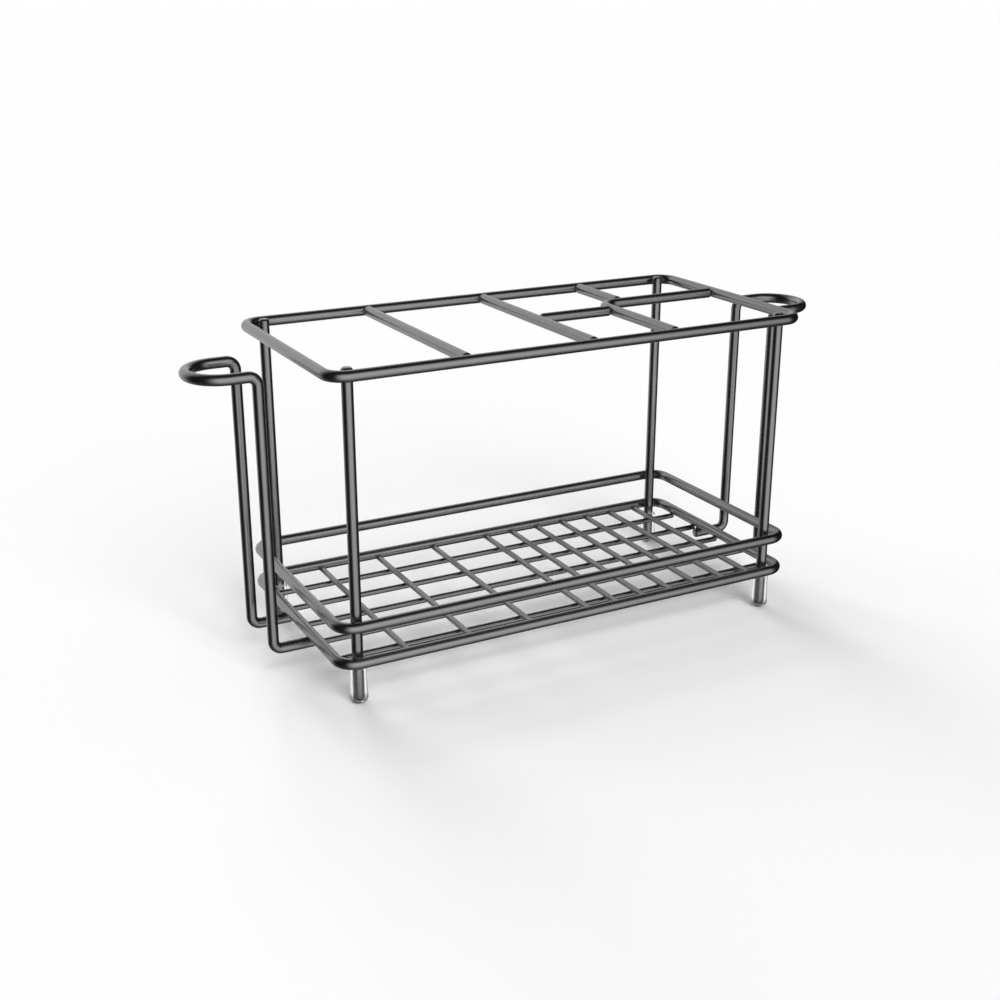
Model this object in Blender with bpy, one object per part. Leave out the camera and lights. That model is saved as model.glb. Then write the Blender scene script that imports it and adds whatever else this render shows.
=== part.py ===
"""Wire toothbrush holder: a tray on four capped posts, a divided top ring and two side loops.

X runs along the length, Y from front to rear and Z up, with the origin on the standing
surface under the middle of the tray. All sizes are in metres and are real sizes.
"""

import math

import bmesh
import bpy
from mathutils import Vector

# Wire stock, and the gap kept between pieces that are welded or pushed together.
FRAME_WIRE = 0.0043
GRILLE_WIRE = 0.0024
JOINT_GAP = 0.0003

# The rounded rectangle that the top ring and both tray rails share, outside sizes.
RING_LENGTH = 0.2075
RING_WIDTH = 0.1007
RING_CORNER_RADIUS = 0.0072

# Heights of the three rings' centre lines, each counted from the one below.
LOWER_RAIL_HEIGHT = 0.01811
RAIL_SPACING = 0.01445
MOUTH_ABOVE_RAILS = 0.09499

# Posts: from the end of the ring's corner bend to the post's axis, and how far the post's
# top end stands above the top ring's centre line.
POST_PAST_CORNER = 0.00045
POST_ABOVE_RING = 0.00205

# Compartments of the mouth, centre to centre of their bars, from the left end rail on.
LARGE_COMPARTMENT = 0.0536
SMALL_COMPARTMENT = 0.0369
CORNER_WIRE_OFFSET = 0.01115
CORNER_WIRE_BEND = 0.0075
REAR_BAR_PAST_BEND = 0.0038

# Side loops: one bent wire each, from under the tray up to a half round loop.
LOOP_WIDTH = 0.0258
LOOP_STANDOFF = 0.01455
LOOP_ARM = 0.00945
LOOP_BELOW_RING = 0.00555
LOOP_BEND = 0.0035

# Grille, cross wires: from the left and right posts' axes to the first and last of them.
LEFT_POST_TO_CROSS_WIRE = 0.020305
RIGHT_POST_TO_CROSS_WIRE = 0.006915

# Grille, long wires: the side gap from a loop's leg to the inner ones, the distance from
# the posts' axes to the outer ones, and how far all of them run past the centre line of the
# right end rail and stop short of the left one's.
LEG_TO_LONG_WIRE = 0.00106
POST_TO_LONG_WIRE = 0.00898
LONG_WIRE_PAST_RIGHT_RAIL = 0.0007
LONG_WIRE_SHORT_OF_LEFT_RAIL = 0.0008

# Foot caps: the wall at the rim, how much wider the sleeve gets towards the bottom, the
# closed floor, the rounded lower edge and the free post between the rim and the rail.
CAP_WALL = 0.0007
CAP_FLARE = 0.0004
CAP_FLOOR = 0.0012
CAP_ROUNDING = 0.0025
CAP_BELOW_RAIL = 0.00136

# Counts that set how finely the round shapes are divided.
FRAME_WIRE_RESOLUTION = 6
GRILLE_WIRE_RESOLUTION = 4
BEND_STEPS = 6
LOOP_STEPS = 9
CAP_SIDES = 20
CAP_ROUNDING_STEPS = 5
CAP_SHARP_ANGLE = math.radians(35)

# Cross wires: steps in the wide part on the left and in the close part on the right, and
# how many close steps make one wide step.
WIDE_CROSS_STEPS = 3
CLOSE_CROSS_STEPS = 6
CLOSE_STEPS_PER_WIDE = 2

# Surface values: linear colour, metallic, roughness and transmission.
FRAME_FINISH = ((0.32, 0.32, 0.327, 1.0), 1.0, 0.24, 0.0)
GRILLE_FINISH = ((0.27, 0.27, 0.276, 1.0), 1.0, 0.28, 0.0)
CAP_FINISH = ((0.90, 0.91, 0.91, 1.0), 0.0, 0.08, 0.9)

# Sizes that follow from the ones above.
FRAME_RADIUS = FRAME_WIRE / 2
GRILLE_RADIUS = GRILLE_WIRE / 2
HALF_LENGTH = (RING_LENGTH - FRAME_WIRE) / 2
HALF_WIDTH = (RING_WIDTH - FRAME_WIRE) / 2
UPPER_RAIL_HEIGHT = LOWER_RAIL_HEIGHT + RAIL_SPACING
TOP_RING_HEIGHT = UPPER_RAIL_HEIGHT + MOUTH_ABOVE_RAILS

# A bar that meets a wire end-on stops this far from that wire's centre line.
BUTT = FRAME_RADIUS + JOINT_GAP
# Two frame wires that lie side by side are this far apart.
BESIDE = FRAME_WIRE + JOINT_GAP

POST_X = HALF_LENGTH - RING_CORNER_RADIUS - POST_PAST_CORNER
POST_Y = HALF_WIDTH - BESIDE
POST_BOTTOM = CAP_FLOOR + JOINT_GAP
POST_TOP = TOP_RING_HEIGHT + POST_ABOVE_RING

LEFT_BAR_X = LARGE_COMPARTMENT - HALF_LENGTH
MIDDLE_BAR_X = LEFT_BAR_X + LARGE_COMPARTMENT
CORNER_WIRE_X = MIDDLE_BAR_X + SMALL_COMPARTMENT
REAR_BAR_X = CORNER_WIRE_X + CORNER_WIRE_BEND + REAR_BAR_PAST_BEND

LOOP_RADIUS = LOOP_WIDTH / 2
LEG_HEIGHT = LOWER_RAIL_HEIGHT - BESIDE
LOOP_HEIGHT = TOP_RING_HEIGHT - LOOP_BELOW_RING

CROSS_WIRE_HEIGHT = LOWER_RAIL_HEIGHT - FRAME_RADIUS + GRILLE_RADIUS
LONG_WIRE_HEIGHT = CROSS_WIRE_HEIGHT - GRILLE_WIRE - JOINT_GAP
INNER_LONG_WIRE_Y = LOOP_RADIUS + FRAME_RADIUS + LEG_TO_LONG_WIRE + GRILLE_RADIUS
OUTER_LONG_WIRE_Y = POST_Y - POST_TO_LONG_WIRE

CAP_BORE_RADIUS = FRAME_RADIUS + JOINT_GAP
CAP_RIM_RADIUS = CAP_BORE_RADIUS + CAP_WALL
CAP_BASE_RADIUS = CAP_RIM_RADIUS + CAP_FLARE
CAP_HEIGHT = LOWER_RAIL_HEIGHT - FRAME_RADIUS - CAP_BELOW_RAIL


def clear_scene():
    """Remove every object that the open file holds."""
    for existing in list(bpy.data.objects):
        bpy.data.objects.remove(existing, do_unlink=True)


def make_material(name, finish):
    """Return a Principled material with the given surface values."""
    colour, metallic, roughness, transmission = finish
    material = bpy.data.materials.new(name)
    material.use_nodes = True
    shader = material.node_tree.nodes["Principled BSDF"]
    shader.inputs["Base Color"].default_value = colour
    shader.inputs["Metallic"].default_value = metallic
    shader.inputs["Roughness"].default_value = roughness
    shader.inputs["Transmission Weight"].default_value = transmission
    material.diffuse_color = colour
    return material


def make_group(name, location, parent=None):
    """Return an empty that carries the pieces of one group."""
    group = bpy.data.objects.new(name, None)
    group.location = location
    group.parent = parent
    bpy.context.scene.collection.objects.link(group)
    return group


def place(name, data, location, parent, finish, turn=0.0):
    """Put one piece in the scene, with a material of its own on the shared shape."""
    piece = bpy.data.objects.new(name, data)
    piece.location = location
    piece.rotation_euler = (0.0, 0.0, turn)
    piece.parent = parent
    bpy.context.scene.collection.objects.link(piece)
    if not data.materials:
        data.materials.append(None)
    slot = piece.material_slots[0]
    slot.link = "OBJECT"
    slot.material = make_material(f"{name}_surface", finish)
    return piece


def bend_points(before, corner, after, radius, steps):
    """Return the points of the round bend that a wire takes at a corner of its path."""
    incoming = (corner - before).normalized()
    outgoing = (after - corner).normalized()
    turn = incoming.angle(outgoing)
    inward = (outgoing - incoming * incoming.dot(outgoing)).normalized()
    start = corner - incoming * radius * math.tan(turn / 2)
    points = []
    for step in range(steps + 1):
        angle = turn * step / steps
        along = incoming * radius * math.sin(angle)
        aside = inward * radius * (1 - math.cos(angle))
        points.append(start + along + aside)
    return points


def wire_path(corners, bends, closed=False):
    """Return the centre line through the corners, each rounded as bends says.

    bends holds a (radius, steps) pair for each corner that is bent: for every corner of a
    closed wire, and for all but the two ends of an open one.
    """
    corners = [Vector(corner) for corner in corners]
    first_bend = 0 if closed else 1
    points = [] if closed else [corners[0]]
    for offset, (radius, steps) in enumerate(bends):
        index = first_bend + offset
        before = corners[index - 1]
        after = corners[(index + 1) % len(corners)]
        arc = bend_points(before, corners[index], after, radius, steps)
        if points and (arc[0] - points[-1]).length < JOINT_GAP:
            arc = arc[1:]
        points.extend(arc)
    if not closed:
        points.append(corners[-1])
    return points


def wire_curve(name, points, diameter, resolution, closed=False):
    """Return a round wire along the points, its ends closed by flat faces."""
    curve = bpy.data.curves.new(name, "CURVE")
    curve.dimensions = "3D"
    curve.bevel_depth = diameter / 2
    curve.bevel_resolution = resolution
    curve.use_fill_caps = not closed
    spline = curve.splines.new("POLY")
    spline.points.add(len(points) - 1)
    for target, point in zip(spline.points, points):
        target.co = (*point, 1.0)
    spline.use_cyclic_u = closed
    spline.use_smooth = True
    return curve


def frame_curve(name, points, closed=False):
    """Return a wire of the thick gauge."""
    return wire_curve(name, points, FRAME_WIRE, FRAME_WIRE_RESOLUTION, closed)


def straight_frame_curve(name, run):
    """Return a straight wire of the thick gauge, centred on the origin."""
    run = Vector(run)
    return frame_curve(name, [-run / 2, run / 2])


def ring_curve(name):
    """Return the rounded rectangle that the mouth and the tray rails are bent to."""
    corners = [
        (-HALF_LENGTH, -HALF_WIDTH, 0.0),
        (HALF_LENGTH, -HALF_WIDTH, 0.0),
        (HALF_LENGTH, HALF_WIDTH, 0.0),
        (-HALF_LENGTH, HALF_WIDTH, 0.0),
    ]
    bends = [(RING_CORNER_RADIUS, BEND_STEPS)] * len(corners)
    return frame_curve(name, wire_path(corners, bends, closed=True), closed=True)


def side_loop_curve(name):
    """Return one side loop, from the end rail's centre line outwards along +X."""
    rise = LOOP_HEIGHT - LEG_HEIGHT
    reach = LOOP_STANDOFF + LOOP_ARM + LOOP_RADIUS
    half = [
        (-FRAME_RADIUS, -LOOP_RADIUS, 0.0),
        (LOOP_STANDOFF, -LOOP_RADIUS, 0.0),
        (LOOP_STANDOFF, -LOOP_RADIUS, rise),
        (reach, -LOOP_RADIUS, rise),
    ]
    other_half = [(x, -y, z) for x, y, z in reversed(half)]
    upright_bends = [(LOOP_BEND, BEND_STEPS)] * 2
    loop_bends = [(LOOP_RADIUS, LOOP_STEPS)] * 2
    bends = upright_bends + loop_bends + upright_bends
    return frame_curve(name, wire_path(half + other_half, bends))


def corner_wire_curve(name):
    """Return the bent divider, with its sharp corner at the origin."""
    corners = [
        (0.0, -(HALF_WIDTH - BUTT + CORNER_WIRE_OFFSET), 0.0),
        (0.0, 0.0, 0.0),
        (HALF_LENGTH - BUTT - CORNER_WIRE_X, 0.0, 0.0),
    ]
    return frame_curve(name, wire_path(corners, [(CORNER_WIRE_BEND, BEND_STEPS)]))


def foot_cap_mesh(name):
    """Return one foot cap: a turned sleeve, open at the top and closed below."""
    profile = []
    for step in range(CAP_ROUNDING_STEPS + 1):
        angle = math.radians(90) * step / CAP_ROUNDING_STEPS
        radius = CAP_BASE_RADIUS - CAP_ROUNDING * (1 - math.sin(angle))
        profile.append((radius, CAP_ROUNDING * (1 - math.cos(angle))))
    profile.append((CAP_RIM_RADIUS, CAP_HEIGHT))
    profile.append((CAP_BORE_RADIUS, CAP_HEIGHT))
    profile.append((CAP_BORE_RADIUS, CAP_FLOOR))

    mesh = bpy.data.meshes.new(name)
    shape = bmesh.new()
    rings = []
    for radius, height in profile:
        ring = []
        for side in range(CAP_SIDES):
            angle = math.tau * side / CAP_SIDES
            ring.append(shape.verts.new((radius * math.cos(angle), radius * math.sin(angle), height)))
        rings.append(ring)
    for lower, upper in zip(rings, rings[1:]):
        for side in range(CAP_SIDES):
            following = (side + 1) % CAP_SIDES
            shape.faces.new((lower[side], lower[following], upper[following], upper[side]))
    shape.faces.new(reversed(rings[0]))
    shape.faces.new(rings[-1])
    shape.to_mesh(mesh)
    shape.free()
    mesh.shade_smooth()
    mesh.set_sharp_from_angle(angle=CAP_SHARP_ANGLE)
    return mesh


def cross_wire_positions():
    """Return the cross wires' places along X: wide apart on the left, close on the right."""
    first = LEFT_POST_TO_CROSS_WIRE - POST_X
    last = POST_X - RIGHT_POST_TO_CROSS_WIRE
    all_steps = WIDE_CROSS_STEPS * CLOSE_STEPS_PER_WIDE + CLOSE_CROSS_STEPS
    close_pitch = (last - first) / all_steps
    wide_pitch = close_pitch * CLOSE_STEPS_PER_WIDE
    wide = [first + wide_pitch * step for step in range(WIDE_CROSS_STEPS)]
    close = [last - close_pitch * step for step in range(CLOSE_CROSS_STEPS, -1, -1)]
    return wide + close


def long_wire_positions():
    """Return the long wires' places along Y, from front to rear."""
    behind_middle = [INNER_LONG_WIRE_Y, OUTER_LONG_WIRE_Y]
    return [-y for y in reversed(behind_middle)] + [0.0] + behind_middle


def build_rings(tray, mouth):
    """Make the top ring and the two tray rails, which are bent to one shape."""
    ring = ring_curve("ring_shape")
    place("lower_tray_rail", ring, (0.0, 0.0, 0.0), tray, FRAME_FINISH)
    place("upper_tray_rail", ring, (0.0, 0.0, RAIL_SPACING), tray, FRAME_FINISH)
    place("top_ring", ring, (0.0, 0.0, 0.0), mouth, FRAME_FINISH)


def build_posts(holder):
    """Make the four posts and the cap that each one stands in."""
    post = straight_frame_curve("post_shape", (0.0, 0.0, POST_TOP - POST_BOTTOM))
    cap = foot_cap_mesh("foot_cap_shape")
    middle = (POST_TOP + POST_BOTTOM) / 2
    for depth_word, y in (("front", -POST_Y), ("rear", POST_Y)):
        for side_word, x in (("left", -POST_X), ("right", POST_X)):
            corner = f"{depth_word}_{side_word}"
            place(f"post_{corner}", post, (x, y, middle), holder, FRAME_FINISH)
            place(f"foot_cap_{corner}", cap, (x, y, 0.0), holder, CAP_FINISH)


def build_dividers(mouth):
    """Make the bars that divide the mouth, all at the top ring's height."""
    full_bar = straight_frame_curve("full_bar_shape", (0.0, 2 * (HALF_WIDTH - BUTT), 0.0))
    place("divider_left", full_bar, (LEFT_BAR_X, 0.0, 0.0), mouth, FRAME_FINISH)
    place("divider_middle", full_bar, (MIDDLE_BAR_X, 0.0, 0.0), mouth, FRAME_FINISH)

    corner_wire = corner_wire_curve("corner_wire_shape")
    corner_place = (CORNER_WIRE_X, CORNER_WIRE_OFFSET, 0.0)
    place("divider_corner_wire", corner_wire, corner_place, mouth, FRAME_FINISH)

    cross_bar = straight_frame_curve("cross_bar_shape", (SMALL_COMPARTMENT - 2 * BUTT, 0.0, 0.0))
    cross_x = (MIDDLE_BAR_X + CORNER_WIRE_X) / 2
    place("divider_cross_short", cross_bar, (cross_x, 0.0, 0.0), mouth, FRAME_FINISH)

    rear_run = HALF_WIDTH - CORNER_WIRE_OFFSET - 2 * BUTT
    rear_bar = straight_frame_curve("rear_bar_shape", (0.0, rear_run, 0.0))
    rear_y = (HALF_WIDTH + CORNER_WIRE_OFFSET) / 2
    place("divider_rear_short", rear_bar, (REAR_BAR_X, rear_y, 0.0), mouth, FRAME_FINISH)


def build_side_loops(tray):
    """Make the two side loops, one wire shape turned about the upright axis."""
    loop = side_loop_curve("side_loop_shape")
    below = LEG_HEIGHT - LOWER_RAIL_HEIGHT
    place("right_side_loop", loop, (HALF_LENGTH, 0.0, below), tray, FRAME_FINISH)
    place("left_side_loop", loop, (-HALF_LENGTH, 0.0, below), tray, FRAME_FINISH, turn=math.pi)


def build_grille(tray):
    """Make the tray's floor: cross wires between the long rails, long wires under them."""
    half_cross = HALF_WIDTH - BUTT
    long_left = LONG_WIRE_SHORT_OF_LEFT_RAIL - HALF_LENGTH
    long_right = HALF_LENGTH + LONG_WIRE_PAST_RIGHT_RAIL
    cross_wire = wire_curve(
        "cross_wire_shape",
        [(0.0, -half_cross, 0.0), (0.0, half_cross, 0.0)],
        GRILLE_WIRE,
        GRILLE_WIRE_RESOLUTION,
    )
    long_wire = wire_curve(
        "long_wire_shape",
        [(long_left, 0.0, 0.0), (long_right, 0.0, 0.0)],
        GRILLE_WIRE,
        GRILLE_WIRE_RESOLUTION,
    )
    cross_below = CROSS_WIRE_HEIGHT - LOWER_RAIL_HEIGHT
    for number, x in enumerate(cross_wire_positions(), start=1):
        place(f"grille_cross_wire_{number}", cross_wire, (x, 0.0, cross_below), tray, GRILLE_FINISH)
    long_below = LONG_WIRE_HEIGHT - LOWER_RAIL_HEIGHT
    for number, y in enumerate(long_wire_positions(), start=1):
        place(f"grille_long_wire_{number}", long_wire, (0.0, y, long_below), tray, GRILLE_FINISH)


def main():
    """Build the whole holder."""
    clear_scene()
    holder = make_group("toothbrush_holder", (0.0, 0.0, 0.0))
    tray = make_group("tray", (0.0, 0.0, LOWER_RAIL_HEIGHT), holder)
    mouth = make_group("mouth", (0.0, 0.0, TOP_RING_HEIGHT), holder)
    build_rings(tray, mouth)
    build_posts(holder)
    build_dividers(mouth)
    build_side_loops(tray)
    build_grille(tray)


main()
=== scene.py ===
"""Looks of the wire toothbrush holder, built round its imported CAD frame.

Bent plated wire in two gauges makes the mouth, the tray, the posts and the side loops, and
clear plastic caps stand under the posts. Lengths are in metres, in the frame's axes: X along
the length, Y to the rear and Z up from the standing surface.
"""

import logging
import math
from dataclasses import asdict, dataclass, fields
from enum import Enum
from typing import Iterable, Optional, Sequence, Union

import bmesh
import bpy
from bpy.types import Material, Mesh, Node, NodeSocket, NodeTree, Object
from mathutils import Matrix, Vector


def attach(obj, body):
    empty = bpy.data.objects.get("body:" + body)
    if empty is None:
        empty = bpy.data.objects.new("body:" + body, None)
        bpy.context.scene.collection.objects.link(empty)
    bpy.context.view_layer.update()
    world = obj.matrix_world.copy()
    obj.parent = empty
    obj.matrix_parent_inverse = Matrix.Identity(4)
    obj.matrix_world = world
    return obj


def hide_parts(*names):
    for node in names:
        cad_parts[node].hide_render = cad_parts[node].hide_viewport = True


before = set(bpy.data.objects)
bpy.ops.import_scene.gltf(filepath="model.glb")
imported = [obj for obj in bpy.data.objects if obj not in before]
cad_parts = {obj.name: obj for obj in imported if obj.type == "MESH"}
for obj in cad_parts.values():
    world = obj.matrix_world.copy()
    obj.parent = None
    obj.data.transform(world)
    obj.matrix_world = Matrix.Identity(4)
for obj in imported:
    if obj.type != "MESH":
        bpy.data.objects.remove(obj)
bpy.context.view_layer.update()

LOG = logging.getLogger("toothbrush_holder")
BODY = "root"
FRAME_SLOT = "frame_wire"
GRILLE_SLOT = "grille_wire"
CAP_SLOT = "foot_cap"
MM = 0.001

Place = tuple[float, float, float]
Flat = tuple[float, float]
Colour = tuple[float, float, float]
PathPoint = tuple[Vector, float]
Feeds = dict[Union[int, str], object]

ALONG_X: Place = (1.0, 0.0, 0.0)
ALONG_Y: Place = (0.0, 1.0, 0.0)
ALONG_Z: Place = (0.0, 0.0, 1.0)
WHITE = (1.0, 1.0, 1.0, 1.0)
BLACK = (0.0, 0.0, 0.0, 1.0)
MATT: Feeds = {"Roughness": 1.0, "Specular IOR Level": 0.0}

# Distances from a ring's seam, each with the share of the radius that grinding has left.
SEAM = ((0.08 * MM, 0.985), (0.35 * MM, 0.99), (0.8 * MM, 0.995), (1.5 * MM, 1.0))
# Extra points along a wire on both sides of a weld, and how far beside the wire its heat shows.
HEAT_STOPS = [step * 0.9 * MM for step in range(-4, 5)]
HEAT_REACH = 0.6 * MM
# Straight parts shorter than this get no extra points, and those lie at least a step apart.
PLAIN_LENGTH = 3.0 * MM
LEAST_STEP = 0.3 * MM
SAME_POINT = 0.01 * MM

# Vertices of a turned cap closer than this are one.
SAME_VERTEX = 1e-7
# The stock that a wire is cut from starts at one of these places, this many to a metre.
STOCK_STARTS, STARTS_PER_METRE = 997, 100

# Scales of the fine noises, and the range that most of a noise lies in.
PIT_SCALE = 1400.0
PATCH_SCALE = 70.0
WAVE_SCALE = 260.0
RUB_SCALE = 700.0
NOISE_RANGE = (0.3, 0.7)
# How the plating's drawing lines, clouds and pits share its lightness, roughness and height.
LINE_SHARE, CLOUD_SHARE = 0.45, 0.55
LINE_ROUGHNESS, CLOUD_ROUGHNESS, EVEN_ROUGHNESS = 0.3, 0.5, 0.4
LINE_HEIGHT, PIT_HEIGHT = 0.7, 0.3
PLATING_EMBOSS = 0.6
# Where a weld's heat is at its full, as a share of its reach, how uneven its rim is, and what it does.
WELD_CORE, WELD_UNEVENNESS = 0.35, 0.12
WELD_DARKENING, WELD_ROUGHNESS = 0.4, 0.9
# What dust needs: a surface that faces up, a patch that catches it, and a grain there.
UPWARD_RANGE, PATCH_RANGE, GRAIN_RANGE = (0.1, 0.95), (0.35, 0.7), (0.55, 0.78)
LEAST_IN_PATCH = 0.2
# Tone of the dust, and how much rougher it makes metal and plastic.
DUST_TONE = 0.4
DUST_ON_METAL, DUST_ON_PLASTIC = 0.4, 0.5
# The clear plastic's moulding waves, rubbed spots and worn sole, and the painted shade that darkens its foot.
WAVE_TONE, WAVE_SHARE, WAVE_EMBOSS = 0.96, 0.5, 0.35
RUB_RANGE, FOOT_SHADE_RANGE = (0.45, 0.7), (0.2, 0.5)
SOLE_HEIGHT, SOLE_ROUGHNESS = 1.2 * MM, 0.25
FULL_FOOT_SHADE_HEIGHT, LEAST_FOOT_SHADE = 0.5, 0.75
COAT_ROUGHNESS = 0.04
# Halfway between two counts of a ray's bounces.
BETWEEN_COUNTS = 0.5


class EndCut(Enum):
    """How the end of a wire is finished."""

    BUTTED = "welded against the side of another wire"
    SUNK = "pressed into the side of another wire while it was welded"
    CUT = "cut square, with its edge broken"
    CAPPED = "ground round, inside a foot cap"


class Depth(Enum):
    """The front or the rear half of the holder, as the sign of Y."""

    FRONT = -1
    REAR = 1


class Side(Enum):
    """The left or the right half of the holder, as the sign of X."""

    LEFT = -1
    RIGHT = 1


CORNERS = [(side.value, depth.value) for side in Side for depth in Depth]


class Carried(Enum):
    """What a node group's socket carries."""

    FLOAT = "NodeSocketFloat"
    INT = "NodeSocketInt"
    VECTOR = "NodeSocketVector"
    GEOMETRY = "NodeSocketGeometry"
    OBJECT = "NodeSocketObject"
    MATERIAL = "NodeSocketMaterial"


Sockets = dict[str, Union[Carried, float]]


@dataclass(frozen=True)
class HolderSizes:
    """Real sizes of the holder, the same ones that its CAD solids are made from."""

    frame_wire: float = 4.3 * MM
    grille_wire: float = 2.4 * MM
    joint_gap: float = 0.3 * MM
    ring_length: float = 207.5 * MM
    ring_width: float = 100.7 * MM
    ring_corner: float = 7.2 * MM
    lower_rail_height: float = 18.11 * MM
    rail_spacing: float = 14.45 * MM
    mouth_above_rails: float = 94.99 * MM
    post_past_corner: float = 0.45 * MM
    post_above_ring: float = 2.05 * MM
    large_compartment: float = 53.6 * MM
    small_compartment: float = 36.9 * MM
    corner_wire_offset: float = 11.15 * MM
    corner_wire_bend: float = 7.5 * MM
    rear_bar_past_bend: float = 3.8 * MM
    loop_width: float = 25.8 * MM
    loop_standoff: float = 14.55 * MM
    loop_arm: float = 9.45 * MM
    loop_below_ring: float = 5.55 * MM
    loop_bend: float = 3.5 * MM
    left_post_to_cross_wire: float = 20.305 * MM
    right_post_to_cross_wire: float = 6.915 * MM
    leg_to_long_wire: float = 1.06 * MM
    post_to_long_wire: float = 8.98 * MM
    long_wire_past_right_rail: float = 0.7 * MM
    long_wire_short_of_left_rail: float = 0.8 * MM
    cap_wall: float = 0.7 * MM
    cap_flare: float = 0.4 * MM
    cap_floor: float = 1.2 * MM
    cap_rounding: float = 2.5 * MM
    cap_below_rail: float = 1.36 * MM
    wide_cross_steps: int = 3
    close_cross_steps: int = 6
    close_steps_per_wide: int = 2

    @property
    def frame_radius(self) -> float:
        """Radius of the thick wire."""
        return self.frame_wire / 2

    @property
    def grille_radius(self) -> float:
        """Radius of the thin wire."""
        return self.grille_wire / 2

    @property
    def half_length(self) -> float:
        """Distance along X from the middle to a ring's centre line."""
        return (self.ring_length - self.frame_wire) / 2

    @property
    def half_width(self) -> float:
        """Distance along Y from the middle to a ring's centre line."""
        return (self.ring_width - self.frame_wire) / 2

    @property
    def upper_rail_height(self) -> float:
        """Height of the upper tray rail's centre line."""
        return self.lower_rail_height + self.rail_spacing

    @property
    def top_ring_height(self) -> float:
        """Height of the top ring's centre line."""
        return self.upper_rail_height + self.mouth_above_rails

    @property
    def butt(self) -> float:
        """Distance from a wire's centre line to the end of a bar that meets it."""
        return self.frame_radius + self.joint_gap

    @property
    def bar_reach(self) -> float:
        """Distance along Y from the middle to the end of a full-depth bar."""
        return self.half_width - self.butt

    @property
    def post_x(self) -> float:
        """Distance of the posts' axes from the middle, along X."""
        return self.half_length - self.ring_corner - self.post_past_corner

    @property
    def post_y(self) -> float:
        """Distance of the posts' axes from the middle, along Y."""
        return self.half_width - self.frame_wire - self.joint_gap

    @property
    def post_ends(self) -> Flat:
        """Heights of the posts' lower and upper ends."""
        return self.cap_floor + self.joint_gap, self.top_ring_height + self.post_above_ring

    @property
    def bars(self) -> tuple[float, float, float, float]:
        """Places of the dividers along X.

        Returns:
            Those of the left, the middle, the bent and the rear one.
        """
        left = self.large_compartment - self.half_length
        middle = left + self.large_compartment
        corner = middle + self.small_compartment
        return left, middle, corner, corner + self.corner_wire_bend + self.rear_bar_past_bend

    @property
    def loop_radius(self) -> float:
        """Radius of the side loops' half round end."""
        return self.loop_width / 2

    @property
    def leg_height(self) -> float:
        """Height of the side loops' legs under the tray."""
        return self.lower_rail_height - self.frame_wire - self.joint_gap

    @property
    def loop_height(self) -> float:
        """Height of the side loops' arms."""
        return self.top_ring_height - self.loop_below_ring

    @property
    def cross_wire_height(self) -> float:
        """Height of the grille's cross wires."""
        return self.lower_rail_height - self.frame_radius + self.grille_radius

    @property
    def long_wire_height(self) -> float:
        """Height of the grille's long wires."""
        return self.cross_wire_height - self.grille_wire - self.joint_gap

    @property
    def long_wire_ends(self) -> Flat:
        """Where the grille's long wires start and end along X."""
        left = self.long_wire_short_of_left_rail - self.half_length
        return left, self.half_length + self.long_wire_past_right_rail

    @property
    def cap_height(self) -> float:
        """Height of the foot caps' rims."""
        return self.lower_rail_height - self.frame_radius - self.cap_below_rail

    def cross_wire_positions(self) -> list[float]:
        """Places of the cross wires along X, from left to right.

        Returns:
            The wide steps first, then the close ones.
        """
        first = self.left_post_to_cross_wire - self.post_x
        last = self.post_x - self.right_post_to_cross_wire
        steps = self.wide_cross_steps * self.close_steps_per_wide + self.close_cross_steps
        close = (last - first) / steps
        wide = close * self.close_steps_per_wide
        left = [first + wide * step for step in range(self.wide_cross_steps)]
        return left + [last - close * step for step in range(self.close_cross_steps, -1, -1)]

    def long_wire_positions(self) -> list[float]:
        """Places of the long wires along Y, from front to rear.

        Returns:
            Five places, mirrored about the middle.
        """
        inner = self.loop_radius + self.frame_radius + self.leg_to_long_wire + self.grille_radius
        outer = self.post_y - self.post_to_long_wire
        return [-outer, -inner, 0.0, inner, outer]


@dataclass(frozen=True)
class WireStock:
    """One gauge of wire, the way that its ends are worked, and its finish.

    Attributes:
        diameter: thickness of the wire.
        sides: faces round the wire.
        metal: its material.
        slot: the name of the slot for that material.
        welded_edge: size of the broken edge of an end that meets another wire.
        cut_edge: the same, of a free end.
        capped_edge: the same, of an end inside a foot cap.
        fullness: how far the edge bulges, from 0 for a flat bevel to 1 for a round one.
        butted_reach: how far a butted end runs past its CAD end, to the other wire.
        sunk_reach: how far a sunk end runs past its CAD end, into the other wire.
        edge_steps: steps in the outline of a broken edge.
    """

    diameter: float
    sides: int
    metal: Material
    slot: str
    welded_edge: float = 1.2 * MM
    cut_edge: float = 0.65 * MM
    capped_edge: float = 0.9 * MM
    fullness: float = 0.3
    butted_reach: float = 0.4 * MM
    sunk_reach: float = 1.15 * MM
    edge_steps: int = 10

    @property
    def radius(self) -> float:
        """Half the thickness."""
        return self.diameter / 2

    def end_profile(self, cut: EndCut) -> list[Flat]:
        """Outline of one end, from its tip inwards.

        Args:
            cut: how the end is finished.

        Returns:
            Pairs of distance along the centre line and share of the full radius. Distances
            start below zero where the end runs past its CAD length.
        """
        edge, reach = {
            EndCut.BUTTED: (self.welded_edge, self.butted_reach),
            EndCut.SUNK: (self.welded_edge, self.sunk_reach),
            EndCut.CUT: (self.cut_edge, 0.0),
            EndCut.CAPPED: (self.capped_edge, 0.0),
        }[cut]
        bulge = 2.0 - self.fullness
        outline = []
        for step in range(self.edge_steps + 1):
            angle = math.radians(90) * step / self.edge_steps
            share = 1.0 - edge * (1.0 - math.sin(angle) ** bulge) / self.radius
            outline.append((edge * (1.0 - math.cos(angle) ** bulge) - reach, share))
        return outline


@dataclass(frozen=True)
class Bend:
    """One bend of a wire: its centre line radius and how finely it is divided."""

    radius: float
    steps: int = 14


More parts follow.
